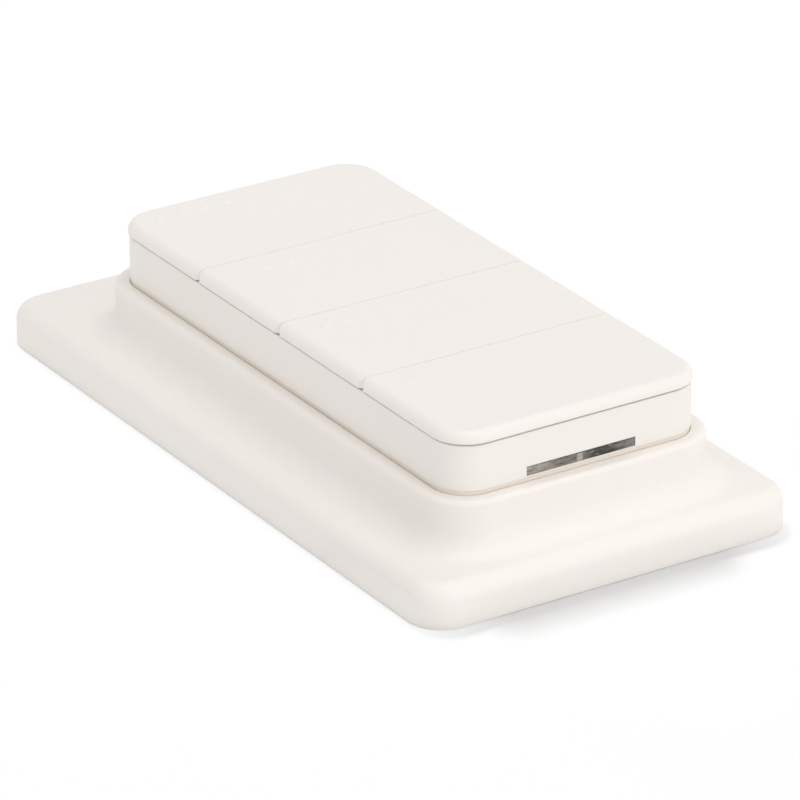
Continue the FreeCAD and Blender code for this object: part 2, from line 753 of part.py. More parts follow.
def battery_contacts():
    """Two spring strips under the board: one on the cell's cap, one beside its can."""
    thick = D.contact_thick
    drop = Z_BOARD - Z_CELL_TOP
    foot_in = D.cell_cap_radius
    foot_out = D.cell_radius + 1.5 * D.contact_wide

    body = new_body("negative_contact", Z_BOARD)
    sketch = new_sketch(body, "finger", 0, 0, 0, "YZ_Plane")
    bind(sketch, "AttachmentOffset.Base.z", -D.contact_wide / 2)
    tip = D.contact_wide / 4
    draw_outline(sketch, [
        (-foot_out, 0), (-foot_in, 0), (-tip, thick - drop), (tip, thick - drop), (2 * tip, 2 * thick - drop),
        (2 * tip, thick - drop), (tip, -drop), (-tip, -drop), (-foot_in, -thick), (-foot_out, -thick),
    ])
    pad(body, sketch, D.contact_wide)

    body = new_body("positive_contact", Z_BOARD)
    sketch = new_sketch(body, "clip", 0, 0, 0, "XZ_Plane")
    bind(sketch, "AttachmentOffset.Base.z", -D.contact_wide / 2)
    near = D.cell_radius + D.cell_gap
    fall = drop + D.cell_height / 2
    draw_outline(sketch, [
        (near, 0), (foot_out, 0), (foot_out, -thick), (near + thick, -thick),
        (near + thick, -fall), (near, -fall),
    ])
    pad(body, sketch, D.contact_wide)


def circuit_board():
    body = new_body("circuit_board", Z_BOARD)
    board = add_block(body, "board", (0, 0, 0), D.board_width, D.board_length, D.board_thick)
    thick = D.board_thick.number
    blend(body, board, lambda edge: abs(edge.BoundBox.ZLength - thick) < 1e-4, D.board_corner, "Chamfer")
    for i, (sx, sy) in enumerate(DIAGONAL_SIGNS):
        at = (sx * D.screw_row, sy * D.screw_column, D.board_thick)
        cut_round(body, f"board_hole_{i + 1}", at, D.screw_radius + D.screw_gap, D.board_thick)


def tactile_switch(number, place):
    """Switch base with four legs and the well that its plunger moves in."""
    body = new_body(f"tactile_switch_{number}", Z_BOARD_TOP, place - D.cradle_shift)
    base = add_block(body, f"switch_base_{number}", (0, 0, 0), D.switch_side, D.switch_side, D.switch_height)
    side = D.switch_side.number / 2

    def upright(edge):
        box = edge.BoundBox
        return box.ZLength > 1.0 and abs(abs(box.XMin) - side) < 1e-3 and abs(abs(box.YMin) - side) < 1e-3

    blend(body, base, upright, D.plunger_rise, "Chamfer")
    well = D.plunger_depth + D.plunger_room
    at = (0, 0, D.switch_height)
    mouth = D.plunger_side + 2 * D.plunger_gap
    cut_block(body, f"switch_well_{number}", at, mouth, mouth, well)
    for i, (sx, sy) in enumerate(CORNER_SIGNS):
        x = sx * (D.switch_side / 2 + D.switch_leg / 2 - D.contact_thick / 2)
        y = sy * (D.switch_side / 2 - D.switch_leg)
        length = D.switch_leg + D.contact_thick
        add_block(body, f"leg_{number}_{i + 1}", (x, y, 0), length, D.switch_leg / 2, D.contact_thick)


def switch_plunger(number, place):
    """Square plunger of a switch, which the button above it presses."""
    foot = Z_PLUNGER_TOP - D.plunger_rise - D.plunger_depth
    body = new_body(f"switch_plunger_{number}", foot, place - D.cradle_shift)
    height = D.plunger_rise + D.plunger_depth
    stem = add_block(body, f"stem_{number}", (0, 0, 0), D.plunger_side, D.plunger_side, height)
    blend(body, stem, lambda edge: level(edge, height.number), D.contact_thick, "Chamfer")


def button(number, place):
    """Button plate with its dots above, and its post and two hooks below."""
    body = new_body(f"button_{number}", Z_BUTTON)
    width = D.remote_width + 2 * D.button_overhang
    length = D.remote_length + 2 * D.button_overhang
    corner = D.remote_corner + D.button_overhang
    # the four plates are cut from one field with round corners
    field = add_block(body, f"field_{number}", (0, 0, 0), width, length, D.button_thick, corner)
    top = D.button_thick.number
    blend(body, field, lambda edge: level(edge, top), D.button_bevel, "Chamfer")
    splits = [-END_EDGE, -D.button_split, size(0), D.button_split, END_EDGE]
    low, high = splits[number - 1], splits[number]
    for end, way in ((low, -1), (high, 1)):
        if abs(end.number) > D.button_split.number + 1:
            continue
        side = "low" if way < 0 else "high"
        face = end - way * D.split_gap / 2
        at = (0, face + way * length / 2, D.button_thick)
        cut_block(body, f"{side}_cut_{number}", at, width + D.remote_corner, length, D.button_thick)
        for turn in (-1, 1):
            hand = "left" if turn < 0 else "right"
            sketch = new_sketch(body, f"{side}_{hand}_notch_{number}", 0, 0, D.button_thick)
            edge = turn * width / 2
            draw_outline(sketch, [
                (edge - turn * D.notch_deep, face),
                (edge + turn * D.notch_deep, face - way * 2 * D.notch_wide),
                (edge + turn * D.notch_deep, face),
            ])
            pocket(body, sketch, D.button_thick)
    # dots: low studs with a bevelled top
    at = (D.dot_inset - D.remote_width / 2, high - D.dot_drop, D.button_thick)
    sketch = new_sketch(body, f"dot_{number}", *at)
    corners = [2 * math.pi * (k + 0.5) / DOT_SIDES for k in range(DOT_SIDES)]
    draw_outline(sketch, [(math.cos(turn) * D.dot_radius, math.sin(turn) * D.dot_radius) for turn in corners])
    dots = pad(body, sketch, D.dot_height)
    count = DOTS_PER_BUTTON[number - 1]
    if count > 1:
        dots = pattern(body, dots, "X_Axis", (count - 1) * D.dot_pitch, count)
    dot_top = (D.button_thick + D.dot_height).number
    blend(body, dots, lambda edge: level(edge, dot_top), D.dot_bevel, "Chamfer")
    # post and hooks
    reach = Z_BUTTON - Z_PLUNGER_TOP
    add_block(body, f"post_{number}", (0, place, 0), D.post_side, D.post_side, reach, down=True)
    catch = Z_BUTTON - Z_DECK + D.hook_rest
    for way in (-1, 1):
        hand = "left" if way < 0 else "right"
        sketch = new_sketch(body, f"{hand}_hook_{number}", 0, 0, 0, "XZ_Plane")
        bind(sketch, "AttachmentOffset.Base.z", -place - D.hook_wide / 2)
        inside = D.hook_row - D.hook_wall / 2
        outside = D.hook_row + D.hook_wall / 2
        lip = outside + D.hook_lip
        draw_outline(sketch, [
            (way * inside, 0), (way * outside, 0), (way * outside, -catch),
            (way * lip, -catch), (way * lip, -catch - D.hook_lip / 2),
            (way * outside, -D.hook_reach), (way * inside, -D.hook_reach),
        ])
        pad(body, sketch, D.hook_wide)


def radio_shield():
    """Folded can over the radio, open below."""
    body = new_body("radio_shield", Z_BOARD_TOP, END_MIDDLE / 2 + MID_MIDDLE / 2 - D.cradle_shift)
    can = add_block(body, "shield_can", (0, 0, 0), D.shield_width, D.shield_length, D.shield_height)
    top = D.shield_height.number
    blend(body, can, lambda edge: level(edge, top), D.contact_thick, "Chamfer")
    inner_width = D.shield_width - 2 * D.contact_thick
    inner_length = D.shield_length - 2 * D.contact_thick
    inner_top = D.shield_height - 2 * D.contact_thick
    cut_block(body, "shield_hollow", (0, 0, 0), inner_width, inner_length, inner_top, up=True)


def controller_chip():
    """Flat square package with a mark at its first pin."""
    body = new_body("controller_chip", Z_BOARD_TOP, -D.cradle_shift)
    bind(body, "Placement.Base.x", D.switch_side + D.contact_thick)
    chip = add_block(body, "chip", (0, 0, 0), D.chip_side, D.chip_side, D.chip_height)
    top = D.chip_height.number
    blend(body, chip, lambda edge: level(edge, top), D.contact_thick, "Chamfer")
    mark = -D.chip_side / 2 + 3 * D.contact_thick
    at = (mark, -mark, D.chip_height)
    cut_block(body, "chip_mark", at, 2 * D.contact_thick, 2 * D.contact_thick, D.contact_thick / 2)


def antenna():
    """Bent strip that stands along the far edge of the board."""
    body = new_body("antenna", Z_BOARD_TOP, D.screw_column - D.cradle_shift)
    sketch = new_sketch(body, "strip", 0, 0, 0, "XZ_Plane")
    bind(sketch, "AttachmentOffset.Base.z", -D.antenna_strip)
    half = D.antenna_length / 2
    wall = D.antenna_strip
    rise = D.antenna_height
    draw_outline(sketch, [
        (-half, 0), (wall - half, 0), (wall - half, rise - wall), (half - wall, rise - wall),
        (half - wall, 0), (half, 0), (half, rise), (-half, rise),
    ])
    pad(body, sketch, 2 * D.antenna_strip)


def board_parts():
    """Small chip parts: two rows beside the controller and one pair at each switch."""
    long, wide, tall = 1.6, 0.8, 0.6
    solids = []
    for row in range(5):
        y = (row - 2) * 2 * wide
        solids.append(block(long, wide, tall, (-D.switch_side.number, y, 0)))
        solids.append(block(long, wide, tall, (-D.switch_side.number - 2 * long, y, 0)))
    for place in BUTTON_PLACES:
        x = D.switch_side.number / 2 + D.switch_leg.number + 2 * long
        solids.append(block(long, wide, tall, (-x, place.number, 0)))
        solids.append(block(wide, long, tall, (x, place.number, 0)))
    solid_group("board_parts", solids, Z_BOARD_TOP)


def case_screws():
    """Two screws from the back cover through the board into the housing's bosses."""
    head_foot = D.cover_base.number - D.screw_head_height.number
    head = Part.makeCylinder(D.screw_head.number, D.screw_head_height.number, V(0, 0, head_foot))
    cross_long = 1.4 * D.screw_head.number
    cross_wide = 0.35 * D.screw_head.number
    cross_deep = D.screw_head_height.number / 2
    for wide, deep in ((cross_long, cross_wide), (cross_wide, cross_long)):
        head = head.cut(block(wide, deep, cross_deep, (0, 0, head_foot)))
    shank = Part.makeCylinder(D.screw_radius.number, D.screw_length.number, V(0, 0, D.cover_base.number))
    screw = head.fuse(shank).removeSplitter()
    solids = []
    for sx, sy in DIAGONAL_SIGNS:
        copy = screw.copy()
        copy.translate(V(sx * D.screw_row.number, sy * D.screw_column.number, 0))
        solids.append(copy)
    solid_group("case_screws", solids, Z_COVER)


def magnets():
    """Two block magnets in the frames of the back cover."""
    size_of = (D.magnet_width.number, D.magnet_length.number, D.magnet_thick.number)
    solids = [block(*size_of, (0, way * D.magnet_row.number, 0)) for way in (-1, 1)]
    solid_group("magnets", solids, Z_COVER + D.magnet_skin)


def signal_window():
    """Clear strip that fills the slot, with a flange behind the wall."""
    body = new_body("signal_window", Z_WINDOW)
    rise = D.window_height / 2
    sketch = new_sketch(body, "strip_face", 0, rise, 0, "XZ_Plane")
    bind(sketch, "AttachmentOffset.Base.z", WINDOW_WALL)
    draw_block(sketch, D.window_width - 2 * D.window_gap, D.window_height - 2 * D.window_gap)
    pad(body, sketch, D.housing_wall - D.window_gap)
    sketch = new_sketch(body, "strip_flange", 0, rise, 0, "XZ_Plane")
    bind(sketch, "AttachmentOffset.Base.z", WINDOW_WALL - D.window_flange_thick)
    draw_block(
        sketch, D.window_width + 2 * D.window_flange, D.window_height + 2 * D.window_rise - 2 * D.window_gap
    )
    pad(body, sketch, D.window_flange_thick)


def emitters_and_reflector():
    """Three emitters under the board's near edge, and the bright sheet that they look through."""
    front_face = WINDOW_WALL - D.window_flange_thick - D.window_gap
    front = front_face.number
    thick = D.reflector_thick.number
    wide, tall = D.emitter_width.number, D.emitter_height.number
    deep = D.emitter_depth.number
    pitch = D.emitter_pitch.number
    solids = []
    for spot in (-1, 0, 1):
        solids.append(block(wide, deep, tall, (spot * pitch, deep / 2 - front + thick, -tall)))
    solid_group("emitters", solids, Z_BOARD)

    body = new_body("reflector", Z_HOUSING + D.window_gap)
    rise = D.board_rise - 2 * D.window_gap
    sketch = new_sketch(body, "sheet_face", 0, rise / 2, 0, "XZ_Plane")
    bind(sketch, "AttachmentOffset.Base.z", front_face - D.reflector_thick)
    draw_block(sketch, D.window_width, rise)
    pad(body, sketch, D.reflector_thick)
    for spot in (-1, 0, 1):
        name = {-1: "left", 0: "middle", 1: "right"}[spot]
        level_up = D.board_rise - D.emitter_height / 2 - D.window_gap
        sketch = new_sketch(body, f"{name}_port", spot * D.emitter_pitch, level_up, 0, "XZ_Plane")
        bind(sketch, "AttachmentOffset.Base.z", front_face)
        draw_block(sketch, D.port_side, D.port_side)
        pocket(body, sketch, D.reflector_thick)


def check_and_write():
    """Every feature and every shape is sound before a file is written."""
    doc.recompute()
    for item in doc.Objects:
        if "Invalid" in item.State or "Error" in item.State:
            raise RuntimeError(f"{item.Label} failed: {item.State}")
    os.makedirs("parts", exist_ok=True)
    for item in PARTS:
        shape = item.Shape
        if shape.isNull() or not shape.isValid() or shape.Volume <= 0:
            raise RuntimeError(f"{item.Label} has no sound shape")
        shape.exportStep(f"parts/{item.Label}.step")
        print(item.Label, len(shape.Solids), "solids", round(shape.Volume, 1), "mm3")


wall_plate()
cradle_base()
strike_plate()
remote_housing()
back_cover()
battery_door()
coin_cell()
battery_contacts()
circuit_board()
for index, spot in enumerate(BUTTON_PLACES, start=1):
    tactile_switch(index, spot)
    switch_plunger(index, spot)
    button(index, spot)
radio_shield()
controller_chip()
antenna()
board_parts()
case_screws()
magnets()
signal_window()
emitters_and_reflector()
check_and_write()
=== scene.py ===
import json
import math

import bpy
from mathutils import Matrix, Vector


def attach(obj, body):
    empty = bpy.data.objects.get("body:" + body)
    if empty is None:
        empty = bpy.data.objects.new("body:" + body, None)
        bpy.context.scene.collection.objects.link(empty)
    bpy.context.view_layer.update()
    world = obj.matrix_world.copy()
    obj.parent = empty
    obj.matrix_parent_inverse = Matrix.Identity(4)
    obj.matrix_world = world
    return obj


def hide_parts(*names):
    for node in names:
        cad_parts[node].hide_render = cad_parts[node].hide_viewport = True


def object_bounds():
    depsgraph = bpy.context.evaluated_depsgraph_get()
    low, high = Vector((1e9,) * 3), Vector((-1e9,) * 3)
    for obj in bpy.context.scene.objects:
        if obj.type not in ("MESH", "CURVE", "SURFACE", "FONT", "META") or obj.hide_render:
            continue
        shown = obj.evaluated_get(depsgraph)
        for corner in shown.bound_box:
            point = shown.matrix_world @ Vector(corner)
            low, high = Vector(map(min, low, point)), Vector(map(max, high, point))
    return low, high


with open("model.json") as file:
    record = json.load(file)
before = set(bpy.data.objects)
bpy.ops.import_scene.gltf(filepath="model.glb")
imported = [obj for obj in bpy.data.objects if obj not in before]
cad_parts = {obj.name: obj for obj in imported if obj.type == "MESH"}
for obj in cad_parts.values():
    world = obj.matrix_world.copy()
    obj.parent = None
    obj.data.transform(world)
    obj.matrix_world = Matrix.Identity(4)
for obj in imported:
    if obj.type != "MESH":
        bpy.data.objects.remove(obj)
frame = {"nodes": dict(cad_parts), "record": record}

CAD_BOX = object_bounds()
NODES = frame["nodes"]
MM = 0.001


# Shader sockets as values

class Wire:
    """A socket that adds Math nodes when it is used in an expression."""

    def __init__(self, desk, socket):
        self.desk = desk
        self.socket = socket

    def work(self, operation, first, second, clamp=False):
        node = self.desk.tree.nodes.new("ShaderNodeMath")
        node.operation = operation
        node.use_clamp = clamp
        for place, value in enumerate((first, second)):
            self.desk.feed(node.inputs[place], value)
        return Wire(self.desk, node.outputs[0])

    def __add__(self, other):
        return self.work("ADD", self, other)

    def __sub__(self, other):
        return self.work("SUBTRACT", self, other)

    def __mul__(self, other):
        return self.work("MULTIPLY", self, other)

    def __pow__(self, other):
        return self.work("POWER", self, other)

    def __lt__(self, other):
        return self.work("LESS_THAN", self, other)

    def __radd__(self, other):
        return self.work("ADD", other, self)

    def __rsub__(self, other):
        return self.work("SUBTRACT", other, self)

    def __rmul__(self, other):
        return self.work("MULTIPLY", other, self)

    def top(self, other):
        return self.work("MAXIMUM", self, other)

    def clamped(self):
        return self.work("ADD", self, 0.0, clamp=True)


class Finish:
    """One material and the nodes it is made of."""

    def __init__(self, name):
        self.material = bpy.data.materials.new(name)
        self.material.use_nodes = True
        self.tree = self.material.node_tree
        self.shader = self.tree.nodes["Principled BSDF"]
        self.place = self.node("ShaderNodeTexCoord").outputs["Object"]

    def feed(self, socket, value):
        if isinstance(value, Wire):
            value = value.socket
        if isinstance(value, bpy.types.NodeSocket):
            self.tree.links.new(value, socket)
        else:
            socket.default_value = value

    def node(self, kind, settings=None, **sockets):
        """A node of this kind: its settings first, then values or links of its sockets by name."""
        made = self.tree.nodes.new(kind)
        for name, value in (settings or {}).items():
            if name == "stops":
                ramp = made.color_ramp.elements
                while len(ramp) < len(value):
                    ramp.new(0.5)
                for stop, (spot, color) in zip(ramp, value):
                    stop.position = spot
                    stop.color = color
            else:
                setattr(made, name, value)
        for name, value in sockets.items():
            self.feed(made.inputs[name.replace("_", " ")], value)
        return made

    def noise(self, scale, detail, rough=0.5, place=None):
        made = self.node(
            "ShaderNodeTexNoise",
            Vector=place or self.place, Scale=scale, Detail=detail, Roughness=rough,
        )
        return Wire(self, made.outputs["Fac"])

    def mix(self, share, first, second):
        made = self.node("ShaderNodeMix", {"data_type": "RGBA"})
        self.feed(made.inputs[0], share)
        self.feed(made.inputs[6], first)
        self.feed(made.inputs[7], second)
        return made.outputs[2]

    def axis(self, letter):
        made = self.node("ShaderNodeSeparateXYZ", Vector=self.place)
        return Wire(self, made.outputs[letter])

    def bump(self, height, distance, strength, after=None):
        made = self.node("ShaderNodeBump", Height=height, Distance=distance, Strength=strength)
        if after is not None:
            self.feed(made.inputs["Normal"], after)
        return made.outputs["Normal"]

    def set(self, **sockets):
        for name, value in sockets.items():
            self.feed(self.shader.inputs[name.replace("_", " ")], value)
        return self.material


# Finishes

IVORY = (0.905, 0.864, 0.82)
IVORY_SHADE = (0.89, 0.846, 0.798)
# Painted shade: the back cover is the housing's ivory plastic, tinted tan for the warm shade in the
# gap between the housing and the collar's lip
PAINTED_SHADE_TAN = (0.905, 0.82, 0.72)
PAINTED_SHADE_TAN_DEEP = (0.895, 0.8, 0.695)
WAX_DEPTH = 0.12
WAX_RADIUS = (1.1 * MM, 0.7 * MM, 0.4 * MM)
BLACK = (0.0, 0.0, 0.0, 1)
WHITE = (1.0, 1.0, 1.0, 1)


def moulded_ivory(name, color, shade, rough, depth=WAX_DEPTH):
    """Satin white plastic with a fine eroded grain, faint flow clouds and slight wax-like depth."""
    finish = Finish(name)
    clouds = finish.noise(scale=38.0, detail=3.0)
    grain = finish.noise(scale=5200.0, detail=2.0, rough=0.6)
    coarse = finish.noise(scale=1700.0, detail=2.0, rough=0.55)
    tone = finish.mix(clouds, (*shade, 1), (*color, 1))
    gloss = rough - 0.05 + 0.1 * finish.noise(scale=160.0, detail=3.0)
    height = finish.bump(grain, distance=0.03 * MM, strength=0.35)
    height = finish.bump(coarse, distance=0.06 * MM, strength=0.22, after=height)
    return finish.set(
        Base_Color=tone, Roughness=gloss, Normal=height, IOR=1.49,
        Subsurface_Weight=depth, Subsurface_Radius=WAX_RADIUS, Subsurface_Scale=1.0,
    )


WINDOW_WIDE = 17.7 * MM
WINDOW_FOOT = 14.6 * MM
WINDOW_TALL = 1.4 * MM
SMOKE_STOPS = [
    (0.0, (0.36, 0.33, 0.275, 1)),
    (0.2, (0.33, 0.3, 0.25, 1)),
    (0.31, (0.16, 0.14, 0.115, 1)),
    (0.44, (0.2, 0.178, 0.15, 1)),
    (0.56, (0.12, 0.102, 0.08, 1)),
    (0.63, (0.028, 0.024, 0.019, 1)),
    (0.8, (0.026, 0.024, 0.019, 1)),
    (0.88, (0.15, 0.14, 0.12, 1)),
    (1.0, (0.21, 0.195, 0.18, 1)),
]
WEDGE_TONE = (0.2, 0.195, 0.17, 1)
DARK_STREAK = (0.03, 0.026, 0.021, 1)
PALE_STREAK = (0.42, 0.4, 0.36, 1)
# Tone of the middle spot, a painted highlight
PAINTED_HIGHLIGHT_TONE = (0.52, 0.485, 0.44, 1)
# Tone of the strip's top edge, painted shade under the slot's upper edge
TOP_EDGE_PAINTED_SHADE = (0.07, 0.062, 0.052, 1)
WEDGE_START = 3.2 * MM
PAINTED_HIGHLIGHT_SHIFT = 0.2 * MM


def smoked_strip(name):
    """Smoked strip: pale ends, a dark right half, crossed streaks, a bright middle spot that is a
    painted highlight, and a top edge darkened as painted shade.
    """
    finish = Finish(name)
    along = finish.axis("X")
    up = (finish.axis("Z") - WINDOW_FOOT) * (1.0 / WINDOW_TALL)
    ramp = finish.node(
        "ShaderNodeValToRGB", {"stops": SMOKE_STOPS}, Fac=along * (1.0 / WINDOW_WIDE) + 0.5
    )
    smear = finish.node(
        "ShaderNodeMapping",
        Vector=finish.place, Rotation=(0.0, -0.22, 0.0), Scale=(0.22, 1.0, 1.0),
    )
    streaks = finish.noise(scale=3400.0, detail=3.0, rough=0.65, place=smear.outputs[0])
    wedge = (1.0 - ((up - 0.5) * 5.0) ** 2.0).clamped()
    wedge = wedge * ((along - WEDGE_START) * 500.0).clamped()
    # Painted highlight: a bright spot in the middle of the strip
    spot = 1.0 - ((along + PAINTED_HIGHLIGHT_SHIFT) * 1700.0) ** 2.0 - ((up - 0.42) * 1.9) ** 2.0
    spot = (spot * 1.8).clamped()
    # Painted shade: the strip darker along its top edge, under the slot's upper edge
    rim = ((up - 0.84) * 9.0).clamped()
    tone = finish.mix(wedge * 0.5, ramp.outputs["Color"], WEDGE_TONE)
    tone = finish.mix(((0.48 - streaks) * 9.0).clamped() * 0.55, tone, DARK_STREAK)
    tone = finish.mix(((streaks - 0.55) * 9.0).clamped() * 0.4, tone, PALE_STREAK)
    tone = finish.mix(spot * (0.2 + 0.9 * streaks), tone, PAINTED_HIGHLIGHT_TONE)
    tone = finish.mix(rim * 0.7, tone, TOP_EDGE_PAINTED_SHADE)
    return finish.set(Base_Color=tone, Roughness=0.16, IOR=1.5)


def plated_metal(name, color, rough, brushed=(1.0, 1.0, 1.0)):
    """Bare or plated metal with fine directional wear."""
    finish = Finish(name)
    stretch = finish.node("ShaderNodeMapping", Vector=finish.place, Scale=brushed)
    lines = finish.noise(scale=2600.0, detail=3.0, rough=0.6, place=stretch.outputs[0])
    stain = finish.noise(scale=90.0, detail=4.0, rough=0.6)
    dull = tuple(0.8 * value for value in color)
    tone = finish.mix(((stain - 0.35) * 1.6).clamped(), (*dull, 1), (*color, 1))
    gloss = rough - 0.08 + 0.18 * lines
    scratches = finish.bump(lines, distance=0.02 * MM, strength=0.5)
    return finish.set(Base_Color=tone, Metallic=1.0, Roughness=gloss, Normal=scratches)


RESIST_GREEN = (0.012, 0.09, 0.045, 1)
TRACK_GREEN = (0.035, 0.19, 0.09, 1)
PAD_GOLD = (0.62, 0.53, 0.34, 1)
PAD_REACH = 0.16


def circuit_laminate(name):
    """Green solder resist over copper tracks on a regular grid."""
    finish = Finish(name)
    net = finish.node(
        "ShaderNodeTexBrick", {"offset": 0.35, "squash": 0.6, "squash_frequency": 3},
        Vector=finish.place, Scale=260.0, Mortar_Size=0.035, Brick_Width=0.9, Row_Height=0.35,
    )
    tracks = Wire(finish, net.outputs["Fac"])
    dots = finish.node("ShaderNodeTexVoronoi", Vector=finish.place, Scale=210.0, Randomness=0.35)
    pads = Wire(finish, dots.outputs["Distance"]) < PAD_REACH
    tone = finish.mix(tracks, RESIST_GREEN, TRACK_GREEN)
    tone = finish.mix(pads, tone, PAD_GOLD)
    relief = finish.bump(tracks, distance=0.03 * MM, strength=0.6)
    return finish.set(
        Base_Color=tone, Metallic=pads * 0.9, Roughness=0.34 - 0.1 * pads, Normal=relief,
        Coat_Weight=0.3, Coat_Roughness=0.15,
    )


def moulded_resin(name, color, rough):
    """Black or coloured moulding compound with a sandy skin."""
    finish = Finish(name)
    sand = finish.noise(scale=3800.0, detail=2.0, rough=0.6)
    clouds = finish.noise(scale=300.0, detail=2.0)
    pale = tuple(min(1.0, 1.5 * value + 0.01) for value in color)
    tone = finish.mix(clouds, (*color, 1), (*pale, 1))
    gloss = rough - 0.06 + 0.12 * sand
    skin = finish.bump(sand, distance=0.02 * MM, strength=0.4)
    return finish.set(Base_Color=tone, Roughness=gloss, Normal=skin)


CORE_MILK = (0.82, 0.85, 0.88, 1)
CORE_WARM = (0.97, 0.97, 0.93, 1)


def clear_resin(name):
    """Clear emitter resin with a milky core."""
    finish = Finish(name)
    core = finish.noise(scale=900.0, detail=2.0)
    tone = finish.mix(core, CORE_MILK, CORE_WARM)
    gloss = 0.12 + 0.1 * core
    return finish.set(Base_Color=tone, Roughness=gloss, Transmission_Weight=0.35, IOR=1.5)


PAPER_DARK = (0.655, 0.655, 0.655, 1)
PAPER_PALE = (0.67, 0.67, 0.67, 1)
# A fade is whole 1 / rate metres past its start
FAR_FADE_START = 140.0 * MM
FAR_FADE_RATE = 9.0
# At the plate's sides the paper is painted white as seen: painted light that wipes out the plate's
# shadow there
SIDE_PAINTED_LIGHT_START = 17.0 * MM
SIDE_PAINTED_LIGHT_RATE = 68.0
SIDE_PAINTED_LIGHT_SHARE = 0.9


def paper_floor():
    """Pale paper with the shadow at the plate's ends, seen as white far out and at the plate's
    sides, where painted light wipes out the plate's shadow.
    """
    finish = Finish("studio_paper")
    light = finish.node("ShaderNodeLightPath")
    seen = Wire(finish, light.outputs["Is Camera Ray"])
    seen = seen.top(Wire(finish, light.outputs["Is Glossy Ray"]))
    seen = seen.top(Wire(finish, light.outputs["Is Transmission Ray"]))
    away = finish.node("ShaderNodeVectorMath", {"operation": "LENGTH"})
    finish.feed(away.inputs[0], finish.place)
    far = ((Wire(finish, away.outputs["Value"]) - FAR_FADE_START) * FAR_FADE_RATE).clamped()
    across = finish.axis("X")
    # Painted light: as seen, the paper at the plate's sides turns white over the plate's shadow
    painted_light_at_sides = ((across.top(0.0 - across) - SIDE_PAINTED_LIGHT_START) * SIDE_PAINTED_LIGHT_RATE).clamped()
    backdrop_and_painted_light = seen * far.top(painted_light_at_sides * SIDE_PAINTED_LIGHT_SHARE)
    fibre = finish.noise(scale=60.0, detail=3.0)
    tone = finish.mix(fibre, PAPER_DARK, PAPER_PALE)
    tone = finish.mix(backdrop_and_painted_light, tone, BLACK)
    white = finish.mix(backdrop_and_painted_light, BLACK, WHITE)
    return finish.set(
        Base_Color=tone, Roughness=0.95, Specular_IOR_Level=0.0,
        Emission_Color=white, Emission_Strength=1.0,
    )


BRUSHED_X = (0.1, 1.0, 1.0)
BRUSHED_Y = (1.0, 0.15, 1.0)
LONG_BRUSHED_Y = (1.0, 0.08, 1.0)


def make_finishes():
    """Every finish, by the record's material slot."""
    return {
        "plate_plastic": moulded_ivory("plate_ivory", IVORY, IVORY_SHADE, rough=0.46),
        "housing_plastic": moulded_ivory("housing_ivory", IVORY, IVORY_SHADE, rough=0.44),
        "button_plastic": moulded_ivory("button_ivory", IVORY, IVORY_SHADE, rough=0.42, depth=0.0),
        # Painted shade: tan tint on the cover for the shaded gap above the collar's lip
        "cover_plastic": moulded_ivory("cover_painted_shade_tan", PAINTED_SHADE_TAN, PAINTED_SHADE_TAN_DEEP, rough=0.48),
        "strike_steel": plated_metal("zinc_sheet", (0.4, 0.4, 0.41), 0.42, LONG_BRUSHED_Y),
        "cell_steel": plated_metal("cell_can", (0.72, 0.72, 0.73), 0.25),
        "contact_metal": plated_metal("spring_strip", (0.78, 0.7, 0.5), 0.28, BRUSHED_X),
        "shield_metal": plated_metal("tinned_can", (0.76, 0.76, 0.75), 0.32, BRUSHED_Y),
        "screw_steel": plated_metal("screw_zinc", (0.55, 0.55, 0.56), 0.3),
        "magnet_nickel": plated_metal("nickel_skin", (0.74, 0.72, 0.68), 0.16),
        "reflector_sheet": plated_metal("bright_sheet", (0.85, 0.85, 0.86), 0.2, BRUSHED_X),
        "board_laminate": circuit_laminate("solder_resist"),
        "switch_plastic": moulded_resin("switch_black", (0.02, 0.02, 0.022), 0.5),
        "plunger_plastic": moulded_resin("plunger_natural", (0.5, 0.47, 0.4), 0.4),
        "chip_resin": moulded_resin("chip_black", (0.015, 0.015, 0.016), 0.55),
        "window_smoked": smoked_strip("smoked_window"),
        "emitter_resin": clear_resin("emitter_clear"),
    }


# Camera, lamps and floor

LENS = 281.95
SENSOR = 36.0
SIGHT = 20.0
CAMERA_AT = Vector((-432.125, -676.548, 379.625)) * MM
CAMERA_TILT = 64.96
CAMERA_TURN = -32.69

# Each lamp: name, place, width, height and watts; all face the middle of the plate
KEY_LAMP = ("key_lamp", (0.1, -0.1, 1.25), 0.7, 0.7, 4.3)
END_LAMP = ("end_lamp", (0.5, -1.3, 0.4), 1.2, 0.7, 4.85)
SIDE_LAMP = ("side_lamp", (-1.1, -0.3, 0.8), 0.8, 0.6, 1.1)
FLOOR_LAMP = ("floor_lamp", (0.09, 0.6, 1.08), 0.18, 0.3, 10.4)
AIR_LIGHT = 0.63
AIR_SEEN = 1.0
FLOOR_SIZE = 6.0
FLOOR_DROP = 0.05 * MM


def set_camera():
    """The photograph's own view: 282 mm lens, 0.89 m away, 25 degrees above the plate."""
    data = bpy.data.cameras.new("camera")
    data.lens = LENS
    data.sensor_width = SENSOR
    data.clip_end = SIGHT
    camera = bpy.data.objects.new("camera", data)
    camera.location = CAMERA_AT
    camera.rotation_euler = (math.radians(CAMERA_TILT), 0.0, math.radians(CAMERA_TURN))
    bpy.context.scene.collection.objects.link(camera)
    bpy.context.scene.camera = camera


def area_lamp(name, at, width, height, watts):
    data = bpy.data.lights.new(name, "AREA")
    data.shape = "RECTANGLE"
    data.size = width
    data.size_y = height
    data.energy = watts
    lamp = bpy.data.objects.new(name, data)
    lamp.location = at
    lamp.rotation_euler = (-Vector(at)).to_track_quat("-Z", "Y").to_euler()
    bpy.context.scene.collection.objects.link(lamp)
    return lamp


